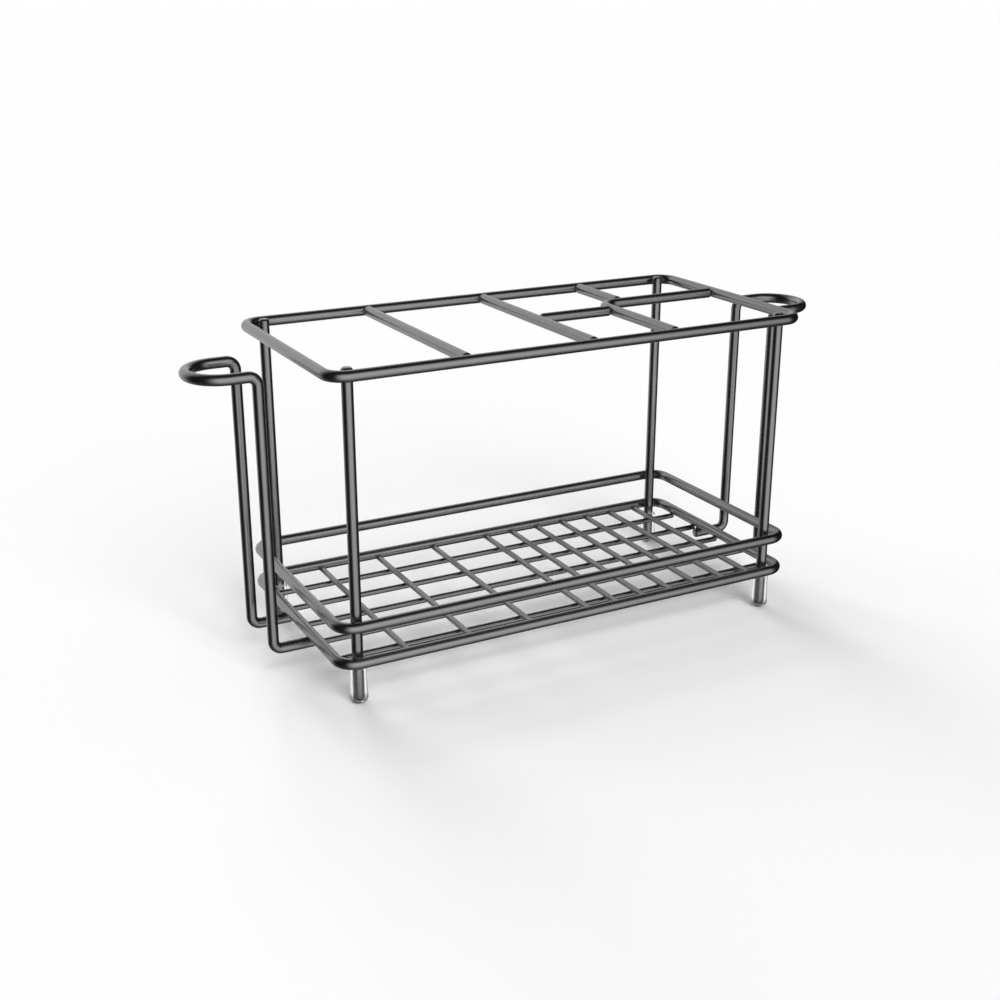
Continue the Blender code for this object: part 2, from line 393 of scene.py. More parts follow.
@dataclass
class WireRun:
    """The centre line of one wire.

    Attributes:
        corners: sharp corners of the path, in order, its two ends included.
        bends: one bend for each corner that isn't an end.
        closed: whether the wire closes on itself.
        start: how the first end is finished.
        end: how the last end is finished.
    """

    corners: Sequence[Place]
    bends: Sequence[Bend] = ()
    closed: bool = False
    start: EndCut = EndCut.BUTTED
    end: EndCut = EndCut.SUNK

    def _bend_points(self, index: int, bend: Bend) -> list[Vector]:
        """Points along the bend at one corner.

        Args:
            index: which corner is bent.
            bend: its radius and steps.

        Returns:
            The points from the start of the bend to its end.
        """
        corners = [Vector(corner) for corner in self.corners]
        corner = corners[index]
        incoming = (corner - corners[index - 1]).normalized()
        outgoing = (corners[(index + 1) % len(corners)] - corner).normalized()
        turn = incoming.angle(outgoing)
        inward = (outgoing - incoming * incoming.dot(outgoing)).normalized()
        start = corner - incoming * bend.radius * math.tan(turn / 2)
        points = []
        for step in range(bend.steps + 1):
            angle = turn * step / bend.steps
            along = incoming * bend.radius * math.sin(angle)
            points.append(start + along + inward * bend.radius * (1 - math.cos(angle)))
        return points

    def _tips(self, body: list[PathPoint], wire: WireStock) -> list[list[PathPoint]]:
        """Points that shape both ends, or both sides of a ring's seam.

        The seam is the butt weld in the middle of the ring's last straight run.

        Args:
            body: the points of all bends.
            wire: the gauge that the path is bent from.

        Returns:
            Those of the first and those of the last end, each from its tip inwards.
        """
        if self.closed:
            last, first = body[-1][0], body[0][0]
            onwards = (first - last).normalized()
            tips = [((last + first) / 2, inwards, SEAM) for inwards in (onwards, -onwards)]
        else:
            tips = []
            for tip, inner, cut in ((0, 1, self.start), (-1, -2, self.end)):
                place = Vector(self.corners[tip])
                tips.append((place, (Vector(self.corners[inner]) - place).normalized(), wire.end_profile(cut)))
        return [
            [(place + inwards * distance, share) for distance, share in outline] for place, inwards, outline in tips
        ]

    @staticmethod
    def _near_joints(points: list[PathPoint], joints: Sequence[Vector], radius: float) -> list[PathPoint]:
        """Add points where the wire passes a weld, so that its heat can show there.

        Args:
            points: the path so far.
            joints: the middle of every weld.
            radius: the wire's radius.

        Returns:
            The path with the extra points.
        """
        finer: list[PathPoint] = []
        for (start, share), (end, next_share) in zip(points, points[1:]):
            finer.append((start, share))
            length = (end - start).length
            if length < PLAIN_LENGTH:
                continue
            onwards = (end - start) / length
            stops: list[float] = []
            for joint in joints:
                along = (joint - start).dot(onwards)
                if (joint - start - onwards * along).length < radius + HEAT_REACH:
                    stops += [along + stop for stop in HEAT_STOPS]
            kept = 0.0
            for stop in sorted(stops):
                if min(stop - kept, length - stop) > LEAST_STEP:
                    finer.append((start + onwards * stop, share + (next_share - share) * stop / length))
                    kept = stop
        return finer + [points[-1]]

    def sampled(self, wire: WireStock, joints: Sequence[Vector]) -> list[PathPoint]:
        """The whole centre line.

        Args:
            wire: the gauge that the path is bent from.
            joints: the middle of every weld.

        Returns:
            Pairs of point and share of the radius, from the first end to the last.
        """
        body: list[PathPoint] = []
        for index, bend in enumerate(self.bends, start=0 if self.closed else 1):
            for point in self._bend_points(index, bend):
                if not body or (point - body[-1][0]).length > SAME_POINT:
                    body.append((point, 1.0))
        head, tail = self._tips(body, wire)
        return self._near_joints(head + body + tail[::-1], joints, wire.radius)


def link(name: str, data: bpy.types.ID) -> Object:
    """Put an object in the scene.

    Args:
        name: its name.
        data: its mesh, light or camera.

    Returns:
        The object.
    """
    thing = bpy.data.objects.new(name, data)
    bpy.context.scene.collection.objects.link(thing)
    return thing


def mesh_of(name: str, points: Iterable[Sequence[float]], edges: Sequence = (), faces: Sequence = ()) -> Mesh:
    """Make a mesh from plain lists.

    Args:
        name: its name.
        points: its vertices.
        edges: pairs of vertices.
        faces: loops of vertices.

    Returns:
        The mesh.
    """
    mesh = bpy.data.meshes.new(name)
    mesh.from_pydata([tuple(point) for point in points], edges, faces)
    return mesh


def mesh_from(name: str, work: bmesh.types.BMesh) -> Mesh:
    """Turn a worked mesh into a plain one.

    Args:
        name: its name.
        work: the worked mesh, which is freed.

    Returns:
        The mesh.
    """
    mesh = bpy.data.meshes.new(name)
    work.to_mesh(mesh)
    work.free()
    return mesh


def label(name: str) -> str:
    """Name of a node group's input, from the name of a field."""
    return name.replace("_", " ").capitalize()


class TreeWriter:
    """Small helper that adds and joins the nodes of one node tree."""

    def __init__(self, tree: NodeTree) -> None:
        """Work on this tree."""
        self.tree = tree

    def add(self, kind: str, feeds: Optional[Feeds] = None, **settings: object) -> Node:
        """Add a node.

        Args:
            kind: the node's type name.
            feeds: values and sockets for its inputs, by name or number.
            settings: properties to set on it.

        Returns:
            The new node.
        """
        node = self.tree.nodes.new(kind)
        for name, value in settings.items():
            setattr(node, name, value)
        self.feed(node, feeds or {})
        return node

    def feed(self, node: Node, feeds: Feeds) -> None:
        """Give a node's inputs plain values, or join sockets to them.

        Args:
            node: the node.
            feeds: values and sockets for its inputs, by name or number.
        """
        for name, value in feeds.items():
            if isinstance(value, NodeSocket):
                self.tree.links.new(value, node.inputs[name])
            else:
                node.inputs[name].default_value = value

    def math(self, operation: str, first: object, second: object = 0.0, clamp: bool = False) -> NodeSocket:
        """Work with two values or sockets, and keep the result from 0 to 1 if asked."""
        return self.add("ShaderNodeMath", {0: first, 1: second}, operation=operation, use_clamp=clamp).outputs[0]

    def plus(self, first: object, second: object, clamp: bool = False) -> NodeSocket:
        """Add two values."""
        return self.math("ADD", first, second, clamp)

    def less(self, first: object, second: object, clamp: bool = False) -> NodeSocket:
        """Take the second value from the first."""
        return self.math("SUBTRACT", first, second, clamp)

    def times(self, first: object, second: object, clamp: bool = False) -> NodeSocket:
        """Multiply two values."""
        return self.math("MULTIPLY", first, second, clamp)

    def remap(self, value: object, low: float, high: float, to_low: float = 0.0, to_high: float = 1.0) -> NodeSocket:
        """Map the range from low to high to another one, and keep what lies beyond at its ends."""
        feeds = {"Value": value, "From Min": low, "From Max": high, "To Min": to_low, "To Max": to_high}
        return self.add("ShaderNodeMapRange", feeds, clamp=True).outputs["Result"]

    def spread(self, noise: NodeSocket, low: float, high: float) -> NodeSocket:
        """Stretch a noise over a range."""
        return self.remap(noise, *NOISE_RANGE, low, high)

    def noise(self, vector: NodeSocket, scale: object, detail: float = 2.0, roughness: float = 0.5) -> NodeSocket:
        """Add noise of this scale, with this many finer layers of this strength."""
        feeds = {"Vector": vector, "Scale": scale, "Detail": detail, "Roughness": roughness}
        return self.add("ShaderNodeTexNoise", feeds, noise_dimensions="3D").outputs["Fac"]

    def mix(self, mask: object, first: object, second: object) -> NodeSocket:
        """Mix two colours or colour sockets, with the mask as the second one's share."""
        first, second = (value if isinstance(value, NodeSocket) else (*value, 1.0) for value in (first, second))
        return self.add("ShaderNodeMix", {"Factor": mask, 6: first, 7: second}, data_type="RGBA").outputs[2]

    def split(self, vector: NodeSocket) -> Sequence[NodeSocket]:
        """The X, Y and Z of a vector."""
        return self.add("ShaderNodeSeparateXYZ", {0: vector}).outputs

    def group(self, tree: NodeTree, **values: object) -> Node:
        """Place a node group, with its inputs' values or sockets."""
        return self.add("ShaderNodeGroup", {label(name): value for name, value in values.items()}, node_tree=tree)


class GroupWriter(TreeWriter):
    """Writer of a new node group with named sockets."""

    def __init__(self, name: str, tree_kind: str, inputs: Sockets, outputs: Sockets) -> None:
        """Make the group.

        Args:
            name: its name.
            tree_kind: the kind of node tree.
            inputs: what each input carries, or the number that it starts with.
            outputs: what each output carries.
        """
        super().__init__(bpy.data.node_groups.new(name, tree_kind))
        for direction, sockets in (("INPUT", inputs), ("OUTPUT", outputs)):
            for title, carried in sockets.items():
                plain = not isinstance(carried, Carried)
                kind = (Carried.FLOAT if plain else carried).value
                socket = self.tree.interface.new_socket(name=title, in_out=direction, socket_type=kind)
                if plain:
                    socket.default_value = carried
        self.given = self.add("NodeGroupInput").outputs
        self.result = self.add("NodeGroupOutput")


class MaterialWriter(TreeWriter):
    """Writer of a new material with one Principled BSDF."""

    def __init__(self, name: str) -> None:
        """Make the material.

        Args:
            name: its name.
        """
        self.material = bpy.data.materials.new(name)
        self.material.use_nodes = True
        super().__init__(self.material.node_tree)
        self.shader = self.tree.nodes["Principled BSDF"]

    def place(self) -> NodeSocket:
        """The place on the piece, in its own coordinates."""
        return self.add("ShaderNodeTexCoord").outputs["Object"]

    def facing(self) -> NodeSocket:
        """The way that the surface faces."""
        return self.add("ShaderNodeNewGeometry").outputs["Normal"]

    def attribute(self, name: str, output: str) -> NodeSocket:
        """One output of a named attribute."""
        return self.add("ShaderNodeAttribute", attribute_name=name).outputs[output]

    def emboss(self, height: NodeSocket, strength: float, relief: float) -> NodeSocket:
        """The normal of a surface that stands up to the relief's height."""
        feeds = {"Height": height, "Strength": strength, "Distance": relief}
        return self.add("ShaderNodeBump", feeds).outputs["Normal"]


def settle(piece: Object, sharp_angle: float = 38.0) -> Object:
    """Turn a piece with modifiers into a plain mesh.

    Args:
        piece: the object, whose modifiers are applied and removed.
        sharp_angle: edges steeper than this many degrees are shaded sharp.

    Returns:
        The same object, now holding the finished mesh.
    """
    bpy.context.view_layer.update()
    graph = bpy.context.evaluated_depsgraph_get()
    evaluated = piece.evaluated_get(graph)
    mesh = bpy.data.meshes.new_from_object(evaluated, preserve_all_data_layers=True, depsgraph=graph)
    source = piece.data
    piece.modifiers.clear()
    piece.data = mesh
    bpy.data.meshes.remove(source)
    mesh.name = piece.name
    mesh.shade_smooth()
    mesh.set_sharp_from_angle(angle=math.radians(sharp_angle))
    return piece


class ShapeTree:
    """Geometry Nodes tree that makes finished pieces from the points of a mesh.

    Where it knows the welds, every vertex gets its distance to the nearest one.
    """

    FINISH = "Finish"
    WELDS = "Welds"
    WELD_DISTANCE = "weld_distance"

    def __init__(self, name: str, inputs: Sockets, marks: Optional[Object] = None) -> None:
        """Start the tree.

        Args:
            name: its name.
            inputs: its own inputs, besides the geometry, the welds and the finish.
            marks: a mesh with one vertex at every weld.
        """
        shape = {"Geometry": Carried.GEOMETRY}
        shared = {self.WELDS: Carried.OBJECT, self.FINISH: Carried.MATERIAL}
        self.marks = marks
        self.writer = GroupWriter(name, "GeometryNodeTree", {**shape, **inputs, **shared}, shape)

    def _read(self, attribute: str, data_type: str) -> NodeSocket:
        """Read a named attribute of the points."""
        node = self.writer.add("GeometryNodeInputNamedAttribute", {"Name": attribute}, data_type=data_type)
        return node.outputs["Attribute"]

    def _store(self, shape: NodeSocket, attribute: str, data_type: str, value: NodeSocket) -> NodeSocket:
        """Store a value at every vertex.

        Args:
            shape: the geometry.
            attribute: the name that the value is stored under.
            data_type: its type.
            value: the value.

        Returns:
            The geometry's socket, with the value on it.
        """
        feeds = {"Name": attribute, "Geometry": shape, "Value": value}
        node = self.writer.add("GeometryNodeStoreNamedAttribute", feeds, data_type=data_type, domain="POINT")
        return node.outputs["Geometry"]

    def _end(self, shape: NodeSocket) -> None:
        """End the tree with the steps that all pieces share.

        Args:
            shape: the geometry so far.
        """
        writer = self.writer
        shape = writer.add("GeometryNodeRealizeInstances", {"Geometry": shape}).outputs["Geometry"]
        if self.marks:
            feeds = {"Object": writer.given[self.WELDS]}
            welds = writer.add("GeometryNodeObjectInfo", feeds, transform_space="ORIGINAL").outputs["Geometry"]
            nearest = writer.add("GeometryNodeProximity", {0: welds}, target_element="POINTS")
            shape = self._store(shape, self.WELD_DISTANCE, "FLOAT", nearest.outputs["Distance"])
        feeds = {"Geometry": shape, "Material": writer.given[self.FINISH]}
        writer.feed(writer.result, {"Geometry": writer.add("GeometryNodeSetMaterial", feeds).outputs["Geometry"]})

    def _grow(self, name: str, mesh: Mesh, values: dict[str, object]) -> Object:
        """Run the tree on a mesh.

        Args:
            name: the piece's name.
            mesh: the points that it grows from.
            values: the inputs' values, by name.

        Returns:
            The piece, as a plain mesh at the origin.
        """
        tree = self.writer.tree
        piece = link(name, mesh)
        modifier = piece.modifiers.new(tree.name, "NODES")
        modifier.node_group = tree
        sockets = [item for item in tree.interface.items_tree if item.item_type == "SOCKET"]
        identifiers = {item.name: item.identifier for item in sockets if item.in_out == "INPUT"}
        if self.marks:
            values = {**values, self.WELDS: self.marks}
        for title, value in values.items():
            modifier[identifiers[title]] = value
        return settle(piece)


class WireTree(ShapeTree):
    """Tree that sweeps a round wire along every path of a mesh.

    The path's vertices carry the share of the radius, and the wire gets a coordinate that
    follows it: the length along the wire, and the cosine and sine of the angle round it.
    """

    RADIUS = "Wire radius"
    SIDES = "Sides"
    SHARE = "radius_share"
    STOCK = "stock_offset"
    COORDINATE = "wire_coordinate"

    def __init__(self, marks: Object) -> None:
        """Build the tree once, for all wires.

        Args:
            marks: a mesh with one vertex at every weld.
        """
        super().__init__("bent_wire", {self.RADIUS: Carried.FLOAT, self.SIDES: Carried.INT}, marks)
        self.joints = [vertex.co.copy() for vertex in marks.data.vertices]
        writer, given = self.writer, self.writer.given
        path = writer.add("GeometryNodeMeshToCurve", {"Mesh": given["Geometry"]}).outputs["Curve"]
        feeds = {"Curve": path, "Radius": self._read(self.SHARE, "FLOAT")}
        sized = writer.add("GeometryNodeSetCurveRadius", feeds).outputs["Curve"]
        length = writer.add("GeometryNodeSplineParameter").outputs["Length"]
        line, along = self._capture("Along", sized, writer.plus(length, self._read(self.STOCK, "FLOAT")))
        feeds = {"Radius": given[self.RADIUS], "Resolution": given[self.SIDES]}
        circle = writer.add("GeometryNodeCurvePrimitiveCircle", feeds).outputs["Curve"]
        factor = writer.add("GeometryNodeSplineParameter").outputs["Factor"]
        section, around = self._capture("Around", circle, factor)
        scale = writer.add("GeometryNodeInputRadius").outputs[0]
        feeds = {"Curve": line, "Profile Curve": section, "Scale": scale, "Fill Caps": True}
        swept = writer.add("GeometryNodeCurveToMesh", feeds).outputs["Mesh"]
        angle = writer.times(around, math.tau)
        feeds = {"X": along, "Y": writer.math("COSINE", angle), "Z": writer.math("SINE", angle)}
        coordinate = writer.add("ShaderNodeCombineXYZ", feeds).outputs["Vector"]
        self._end(self._store(swept, self.COORDINATE, "FLOAT_VECTOR", coordinate))

    def _capture(self, name: str, curve: NodeSocket, value: NodeSocket) -> tuple[NodeSocket, NodeSocket]:
        """Keep a value at every point of a curve.

        Args:
            name: the value's name.
            curve: the curve.
            value: the value.

        Returns:
            The curve's socket and the kept value's.
        """
        node = self.writer.add("GeometryNodeCaptureAttribute", domain="POINT")
        node.capture_items.new("FLOAT", name)
        self.writer.feed(node, {"Geometry": curve, name: value})
        return node.outputs["Geometry"], node.outputs[name]

    def sweep(self, name: str, run: WireRun, wire: WireStock) -> Object:
        """Make one wire.

        Args:
            name: the piece's name.
            run: its centre line.
            wire: its gauge.

        Returns:
            The piece, as a plain mesh at the origin.
        """
        path = run.sampled(wire, self.joints)
        edges = [(index, index + 1) for index in range(len(path) - 1)]
        if run.closed:
            edges.append((len(path) - 1, 0))
        mesh = mesh_of(name, [point for point, _ in path], edges)
        number = sum((index + 1) * ord(letter) for index, letter in enumerate(name))
        offset = number % STOCK_STARTS / STARTS_PER_METRE
        for attribute, values in ((self.SHARE, [share for _, share in path]), (self.STOCK, [offset] * len(path))):
            mesh.attributes.new(attribute, "FLOAT", "POINT").data.foreach_set("value", values)
        values = {self.RADIUS: wire.radius, self.SIDES: wire.sides, self.FINISH: wire.metal}
        return self._grow(name, mesh, values)


@dataclass(frozen=True)
class BeadSize:
    """Size of a fused bead: its radius, and half its thickness."""

    spread: float
    depth: float


@dataclass(frozen=True)
class SpotWeld:
    """One spot where two wires are welded, and the axis that its thickness is taken along."""

    point: Place
    axis: Place
    size: BeadSize


class SpotWeldTree(ShapeTree):
    """Tree that puts a small fused bead at every point of a mesh."""

    SEED = "Seed"
    VARIATION = "Size variation"
    AXIS = "weld_axis"
    SIZE = "weld_size"

    def __init__(self, marks: Object) -> None:
        """Build the tree once, for all welds.

        Args:
            marks: a mesh with one vertex at every weld.
        """
        super().__init__("spot_welds", {self.VARIATION: 0.08, self.SEED: Carried.INT}, marks)
        writer, given = self.writer, self.writer.given
        bead = writer.add("GeometryNodeMeshIcoSphere", {"Radius": 1.0, "Subdivisions": 3}).outputs["Mesh"]
        feeds = {"Vector": self._read(self.AXIS, "FLOAT_VECTOR")}
        turned = writer.add("FunctionNodeAlignRotationToVector", feeds, axis="Z").outputs["Rotation"]
        least, most = writer.less(1.0, given[self.VARIATION]), writer.plus(1.0, given[self.VARIATION])
        feeds = {2: least, 3: most, "Seed": given[self.SEED]}
        chance = writer.add("FunctionNodeRandomValue", feeds, data_type="FLOAT").outputs[1]
        feeds = {0: self._read(self.SIZE, "FLOAT_VECTOR"), "Scale": chance}
        scale = writer.add("ShaderNodeVectorMath", feeds, operation="SCALE").outputs["Vector"]
        feeds = {"Points": given["Geometry"], "Instance": bead, "Rotation": turned, "Scale": scale}
        self._end(writer.add("GeometryNodeInstanceOnPoints", feeds).outputs["Instances"])

    def scatter(self, name: str, welds: Sequence[SpotWeld], wire: WireStock, seed: int) -> Object:
        """Make the beads of one group of joints.

        Args:
            name: the piece's name.
            welds: the joints.
            wire: the gauge whose finish they get.
            seed: seed of their small size differences.

        Returns:
            The piece, as a plain mesh at the origin.
        """
        mesh = mesh_of(name, [weld.point for weld in welds])
        axes = mesh.attributes.new(self.AXIS, "FLOAT_VECTOR", "POINT")
        sizes = mesh.attributes.new(self.SIZE, "FLOAT_VECTOR", "POINT")
        for index, weld in enumerate(welds):
            axes.data[index].vector = weld.axis
            sizes.data[index].vector = (weld.size.spread, weld.size.spread, weld.size.depth)
        return self._grow(name, mesh, {self.SEED: seed, self.FINISH: wire.metal})


class CopyTree(ShapeTree):
    """Tree that puts a copy of one shape at every point of a mesh."""

    SHAPE = "Shape"

    def __init__(self) -> None:
        """Build the tree once."""
        super().__init__("placed_copies", {self.SHAPE: Carried.OBJECT})
        writer, given = self.writer, self.writer.given
        feeds = {"Object": given[self.SHAPE]}
        shape = writer.add("GeometryNodeObjectInfo", feeds, transform_space="ORIGINAL").outputs["Geometry"]
        feeds = {"Points": given["Geometry"], "Instance": shape}
        self._end(writer.add("GeometryNodeInstanceOnPoints", feeds).outputs["Instances"])

    def copy(self, name: str, shape: Mesh, points: Sequence[Place], finish: Material) -> Object:
        """Put the shape at each point.

        Args:
            name: the piece's name.
            shape: the mesh that is repeated.
            points: where its copies go.
            finish: their material.

        Returns:
            The piece, as a plain mesh at the origin.
        """
        pattern = link(f"{name}_pattern", shape)
        piece = self._grow(name, mesh_of(name, points), {self.SHAPE: pattern, self.FINISH: finish})
        bpy.data.objects.remove(pattern)
        return piece


def adopt(piece: Object, slot: str, nodes: Sequence[str] = ()) -> Object:
    """Hang a finished piece on the frame.

    Args:
        piece: the piece.
        slot: the name of a material slot; not used.
        nodes: the CAD nodes that it stands for.

    Returns:
        The same piece.
    """
    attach(piece, BODY)
    if nodes:
        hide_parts(*nodes)
    LOG.info("%s: %d faces, for %s", piece.name, len(piece.data.polygons), ", ".join(nodes) or "no node")
    return piece


@dataclass(frozen=True)
class SurfaceGroups:
    """The shader node groups that more than one finish uses."""

    plating: NodeTree
    dust: NodeTree

    @classmethod
    def build(cls) -> "SurfaceGroups":
        """Build both groups once."""
        return cls(plating=cls._drawn_plating(), dust=cls._settled_dust())

    @staticmethod
    def _drawn_plating() -> NodeTree:
        """Wire that was drawn, bent, welded and then plated.

        Returns:
            A group that takes the place along and round the wire, and puts out how light the
            plating is, how rough it is and how high its drawing lines stand.
        """
        places = {"Wire coordinate": Carried.VECTOR, "Place": Carried.VECTOR, "Weld distance": 1.0}
        looks = {"Line stretch": 4.5, "Line fineness": 13.0, "Cloud scale": 55.0, "Smooth": 0.18, "Roughening": 0.1}
        outputs = dict.fromkeys(("Lightness", "Roughness", "Height"), Carried.FLOAT)
        inputs = {**places, **looks, "Weld reach": 3.5 * MM}
        writer = GroupWriter("drawn_plating", "ShaderNodeTree", inputs, outputs)
        given, plus, times = writer.given, writer.plus, writer.times
        parts = writer.split(given["Wire coordinate"])
        drawn = {"X": times(parts["X"], given["Line stretch"]), "Y": parts["Y"], "Z": parts["Z"]}
        drawn_place = writer.add("ShaderNodeCombineXYZ", drawn).outputs[0]
        lines = writer.noise(drawn_place, given["Line fineness"], detail=3.0, roughness=0.6)
        clouds = writer.noise(given["Place"], given["Cloud scale"], detail=3.0, roughness=0.55)
        pits = writer.noise(given["Place"], PIT_SCALE, detail=1.0, roughness=0.4)
        share = writer.math("DIVIDE", given["Weld distance"], given["Weld reach"])
        share = plus(share, writer.spread(pits, -WELD_UNEVENNESS, WELD_UNEVENNESS))
        weld = writer.remap(share, WELD_CORE, 1.0, 1.0, 0.0)
        lined, clouded = (writer.spread(value, -0.5, 0.5) for value in (lines, clouds))

        mixed = plus(times(lined, LINE_SHARE), times(clouded, CLOUD_SHARE))
        light = writer.less(plus(mixed, 0.5), times(weld, WELD_DARKENING))
        rough = plus(times(clouded, CLOUD_ROUGHNESS), times(lined, LINE_ROUGHNESS))
        rough = plus(plus(rough, EVEN_ROUGHNESS), times(weld, WELD_ROUGHNESS))
        rough = times(writer.math("MAXIMUM", rough, 0.0), given["Roughening"])
        writer.feed(writer.result, {
            "Lightness": plus(light, 0.0, clamp=True),
            "Roughness": plus(rough, given["Smooth"]),
            "Height": plus(times(lines, LINE_HEIGHT), times(pits, PIT_HEIGHT)),
        })
        return writer.tree

    @staticmethod
    def _settled_dust() -> NodeTree:
        """Fine dust and dried drops that lie on what faces up.

        Returns:
            A group that puts out where the dust is.
        """
        places = {"Place": Carried.VECTOR, "Facing": Carried.VECTOR}
        inputs = {**places, "Grain scale": 900.0, "Amount": 0.3}
        writer = GroupWriter("settled_dust", "ShaderNodeTree", inputs, {"Mask": Carried.FLOAT})
        given = writer.given
        upward = writer.remap(writer.split(given["Facing"])["Z"], *UPWARD_RANGE)
        grains = writer.noise(given["Place"], given["Grain scale"], roughness=0.6)
        patches = writer.noise(given["Place"], PATCH_SCALE)
        spread = writer.remap(patches, *PATCH_RANGE, to_low=LEAST_IN_PATCH)
        mask = writer.times(writer.times(writer.remap(grains, *GRAIN_RANGE), spread), upward)
        writer.feed(writer.result, {"Mask": writer.times(mask, given["Amount"], clamp=True)})
        return writer.tree


@dataclass(frozen=True)
class PlatedFinish:
    """Dark nickel plating on steel wire.

    Attributes:
        name: the material's name.
        dark: the plating's darkest tone.
        light: its lightest tone.
        smooth: roughness where the plating is best.
        roughening: how much rougher it gets in clouds, along the lines and at the welds.
        line_stretch: how long the drawing lines are against the wire's thickness.
        line_fineness: how many of them there are round the wire.
        relief: height of the lines.
        weld_reach: how far the heat of a weld shows.
        dust: how much dust lies on top.
    """

    name: str
    dark: Colour
    light: Colour
    smooth: float
    roughening: float
    line_stretch: float
    line_fineness: float
    relief: float
    weld_reach: float
    dust: float

    def build(self, groups: SurfaceGroups) -> Material:
        """Build the material.

        Args:
            groups: the shared node groups.

        Returns:
            The material.
        """
        writer = MaterialWriter(self.name)
        place = writer.place()
        plating = writer.group(
            groups.plating,
            wire_coordinate=writer.attribute(WireTree.COORDINATE, "Vector"),
            weld_distance=writer.attribute(ShapeTree.WELD_DISTANCE, "Fac"),
            place=place,
            line_stretch=self.line_stretch,
            line_fineness=self.line_fineness,
            smooth=self.smooth,
            roughening=self.roughening,
            weld_reach=self.weld_reach,
        ).outputs
        dust = writer.group(groups.dust, place=place, facing=writer.facing(), amount=self.dust).outputs["Mask"]
        metal = writer.mix(plating["Lightness"], self.dark, self.light)
        dusty = tuple((channel + DUST_TONE) / 2 for channel in self.light)
        writer.feed(writer.shader, {
            "Base Color": writer.mix(dust, metal, dusty),
            "Roughness": writer.plus(plating["Roughness"], writer.times(dust, DUST_ON_METAL), clamp=True),
            "Normal": writer.emboss(plating["Height"], PLATING_EMBOSS, self.relief),
            "Metallic": 1.0,
        })
        return writer.material


@dataclass(frozen=True)
class ClearPlasticFinish:
    """Clear, slightly soft plastic with fine moulding waves and rubbed spots.

    Attributes:
        haze: how much rougher the rubbed spots are.
        clearness: share of the light that passes it.
        gloss: strength of its glossy skin.
        relief: height of the moulding waves.
        soiled_height: how far up from the sole the painted shade of the foot reaches.
        soiled_tone: how light the painted shade is there, as a share of its tint.
    """

    name: str
    tint: Colour
    roughness: float
    haze: float
    ior: float
    clearness: float
    gloss: float
    relief: float
    dust: float
    soiled_height: float
    soiled_tone: float

    def build(self, groups: SurfaceGroups) -> Material:
        """Build the material.

        Args:
            groups: the shared node groups.

        Returns:
            The material.
        """
        writer = MaterialWriter(self.name)
        place, times = writer.place(), writer.times
        waves = writer.noise(place, WAVE_SCALE)
        rubs = writer.noise(place, RUB_SCALE, detail=3.0, roughness=0.6)
        height = writer.split(place)["Z"]
        sole = writer.remap(height, 0.0, SOLE_HEIGHT, 1.0, 0.0)
        dust = writer.group(groups.dust, place=place, facing=writer.facing(), amount=self.dust).outputs["Mask"]
        rough = writer.plus(times(writer.remap(rubs, *RUB_RANGE), self.haze), times(sole, SOLE_ROUGHNESS))
        rough = writer.plus(rough, times(dust, DUST_ON_PLASTIC))
        # Painted shade: the plastic gets darker towards its sole, made uneven by the rubbed-spot noise. This stands
        # in for the contact shadow and dark refraction at the cap's foot.
        waved, shaded_tint = (tuple(share * part for part in self.tint) for share in (WAVE_TONE, self.soiled_tone))
        tone = writer.mix(writer.spread(waves, 0.0, WAVE_SHARE), self.tint, waved)
        foot_shade = writer.remap(height, FULL_FOOT_SHADE_HEIGHT * self.soiled_height, self.soiled_height, 1.0, 0.0)
        foot_shade = times(foot_shade, writer.remap(rubs, *FOOT_SHADE_RANGE, to_low=LEAST_FOOT_SHADE))
        writer.feed(writer.shader, {
            "Base Color": writer.mix(foot_shade, tone, shaded_tint),
            "Roughness": writer.plus(rough, self.roughness, clamp=True),
            "Normal": writer.emboss(waves, WAVE_EMBOSS, self.relief),
            "Transmission Weight": self.clearness,
            "Coat Weight": self.gloss,
            "Coat Roughness": COAT_ROUGHNESS,
            "IOR": self.ior,
        })
        return writer.material


@dataclass(frozen=True)
class Workshop:
    """What every sub-assembly is made with: the sizes, the two gauges, the trees and the plastic."""

    sizes: HolderSizes
    frame_wire: WireStock
    grille_wire: WireStock
    wires: WireTree
    beads: SpotWeldTree
    copies: CopyTree
    clear_plastic: Material

    def bend(self, node: str, run: WireRun, wire: Optional[WireStock] = None) -> Object:
        """Make one wire and let it stand for its CAD node.

        Args:
            node: the CAD node.
            run: its centre line.
            wire: its gauge, which is the thick one if none is given.

        Returns:
            The piece.
        """
        wire = wire or self.frame_wire
        return adopt(self.wires.sweep(f"{node}_wire", run, wire), wire.slot, [node])

    def ring(self, node: str, height: float) -> Object:
        """Bend one closed rectangle.

        Args:
            node: the CAD node.
            height: height of its centre line.

        Returns:
            The piece.
        """
        x, y = self.sizes.half_length, self.sizes.half_width
        corners = [(-x, y, height), (-x, -y, height), (x, -y, height), (x, y, height)]
        return self.bend(node, WireRun(corners, [Bend(self.sizes.ring_corner)] * len(corners), closed=True))


@dataclass
class Mouth:
    """The top ring with the bars that divide it."""

    shop: Workshop

    def build(self) -> list[Object]:
        """Make the ring and its five dividers.

        Returns:
            The pieces.
        """
        sizes = self.shop.sizes
        left, middle, corner, rear = sizes.bars
        z, reach, butt, offset = sizes.top_ring_height, sizes.bar_reach, sizes.butt, sizes.corner_wire_offset
        bent = [(corner, -reach, z), (corner, offset, z), (sizes.half_length - butt, offset, z)]
        runs = {
            "divider_left": WireRun([(left, -reach, z), (left, reach, z)]),
            "divider_middle": WireRun([(middle, -reach, z), (middle, reach, z)]),
            "divider_corner_wire": WireRun(bent, [Bend(sizes.corner_wire_bend)]),
            "divider_cross_short": WireRun([(middle + butt, 0.0, z), (corner - butt, 0.0, z)]),
            "divider_rear_short": WireRun([(rear, offset + butt, z), (rear, reach, z)]),
        }
        ring = self.shop.ring("top_ring", z)
        return [ring] + [self.shop.bend(node, run) for node, run in runs.items()]


